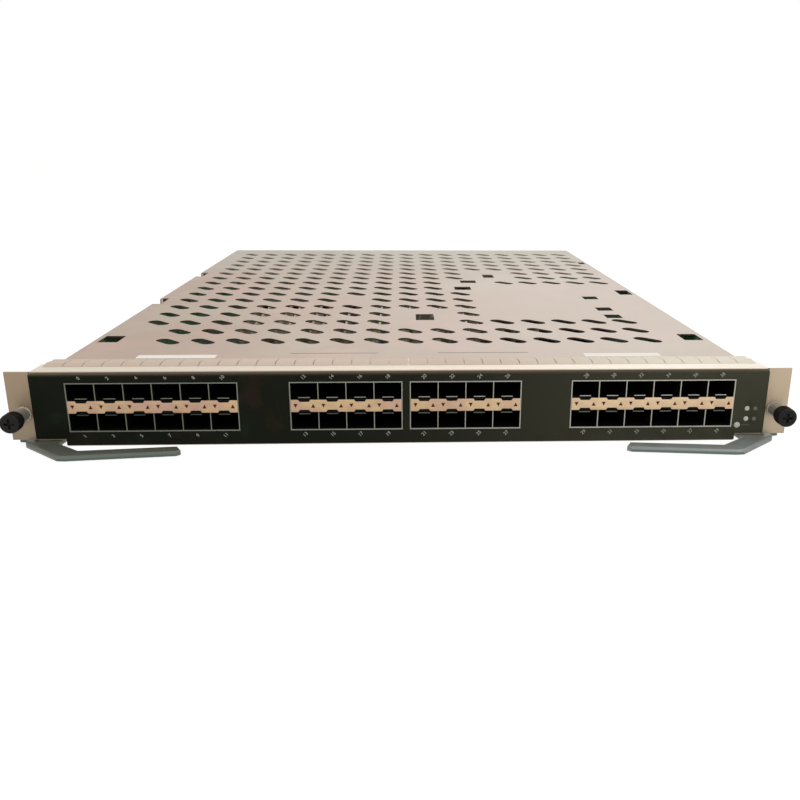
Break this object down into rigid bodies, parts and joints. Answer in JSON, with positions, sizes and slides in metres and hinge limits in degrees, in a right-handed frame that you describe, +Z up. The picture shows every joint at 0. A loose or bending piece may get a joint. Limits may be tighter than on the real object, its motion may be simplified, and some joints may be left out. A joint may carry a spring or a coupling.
{
  "type": "switch line card",
  "caption": "Modular switch line card: faceplate with stacked port cages, ejector levers and thumbscrews, slotted cover over the board.",
  "frame": {"origin": "centre of the bounding box at the underside", "axes": "+X to the right seen from the front, +Y from the faceplate to the backplane, +Z up"},
  "size_m": [0.3974, 0.5396, 0.04],
  "materials": {
    "plated_sheet": "satin",
    "cover_sheet": "satin",
    "dark_film": "matte",
    "spring_strip": "satin",
    "cage_steel": "satin",
    "warm_strip": "satin",
    "lens": "gloss",
    "board_green": "satin",
    "black_plastic": "matte",
    "knob_black": "satin",
    "screw_steel": "satin",
    "lever_alloy": "satin",
    "sink_alloy": "satin",
    "choke_grey": "matte"
  },
  "bodies": {
    "card": {"faceplate": "plated_sheet", "front_film": "dark_film", "status_lights": "lens", "finger_strip_left": "spring_strip", "finger_strip_right": "spring_strip", "top_cover": "cover_sheet", "cover_screws": "screw_steel", "base_tray": "cover_sheet", "main_board": "board_green", "board_standoffs": "screw_steel", "board_screws": "screw_steel", "light_pipes": "lens", "screw_ferrules": "screw_steel", "lever_bracket_left": "plated_sheet", "lever_bracket_right": "plated_sheet", "lever_pivots": "screw_steel", "switch_chips": "black_plastic", "heat_sink_left": "sink_alloy", "heat_sink_right": "sink_alloy", "power_modules": "black_plastic", "power_chokes": "choke_grey", "power_capacitors": "choke_grey", "processor_board": "board_green", "processor_spacers": "screw_steel", "backplane_plugs": "black_plastic", "guide_sockets": "sink_alloy", "cage_shell_1": "cage_steel", "cage_floor_1": "cage_steel", "cage_dividers_1": "cage_steel", "port_separators_1": "cage_steel", "centre_strip_1": "warm_strip", "port_connectors_1": "black_plastic", "cage_shell_2": "cage_steel", "cage_floor_2": "cage_steel", "cage_dividers_2": "cage_steel", "port_separators_2": "cage_steel", "centre_strip_2": "warm_strip", "port_connectors_2": "black_plastic", "cage_shell_3": "cage_steel", "cage_floor_3": "cage_steel", "cage_dividers_3": "cage_steel", "port_separators_3": "cage_steel", "centre_strip_3": "warm_strip", "port_connectors_3": "black_plastic", "cage_shell_4": "cage_steel", "cage_floor_4": "cage_steel", "cage_dividers_4": "cage_steel", "port_separators_4": "cage_steel", "centre_strip_4": "warm_strip", "port_connectors_4": "black_plastic"},
    "left_lever": {"ejector_lever_left": "lever_alloy"},
    "left_screw_travel": {"screw_spring_left": "screw_steel"},
    "left_screw": {"screw_knob_left": "knob_black", "captive_screw_left": "screw_steel"},
    "right_lever": {"ejector_lever_right": "lever_alloy"},
    "right_screw_travel": {"screw_spring_right": "screw_steel"},
    "right_screw": {"screw_knob_right": "knob_black", "captive_screw_right": "screw_steel"}
  },
  "joints": [
    {"name": "left_lever_swing", "type": "hinge", "parent": "card", "child": "left_lever", "pos_m": [-0.183, -0.23515, 0.0014], "axis": [0, 0, -1], "range_deg": [0, 50]},
    {"name": "left_screw_slide", "type": "slide", "parent": "card", "child": "left_screw_travel", "axis": [0, 1, 0], "range_m": [0, 0.0038], "stiffness_N_per_m": 400, "springref_m": -0.002, "deforming": ["screw_spring_left"]},
    {"name": "left_screw_turn", "type": "hinge", "parent": "left_screw_travel", "child": "left_screw", "pos_m": [-0.1913, -0.24715, 0.0174], "axis": [0, 1, 0], "continuous": true},
    {"name": "right_lever_swing", "type": "hinge", "parent": "card", "child": "right_lever", "pos_m": [0.183, -0.23515, 0.0014], "axis": [0, 0, 1], "range_deg": [0, 50]},
    {"name": "right_screw_slide", "type": "slide", "parent": "card", "child": "right_screw_travel", "axis": [0, 1, 0], "range_m": [0, 0.0038], "stiffness_N_per_m": 400, "springref_m": -0.002, "deforming": ["screw_spring_right"]},
    {"name": "right_screw_turn", "type": "hinge", "parent": "right_screw_travel", "child": "right_screw", "pos_m": [0.1913, -0.24715, 0.0174], "axis": [0, 1, 0], "continuous": true}
  ]
}
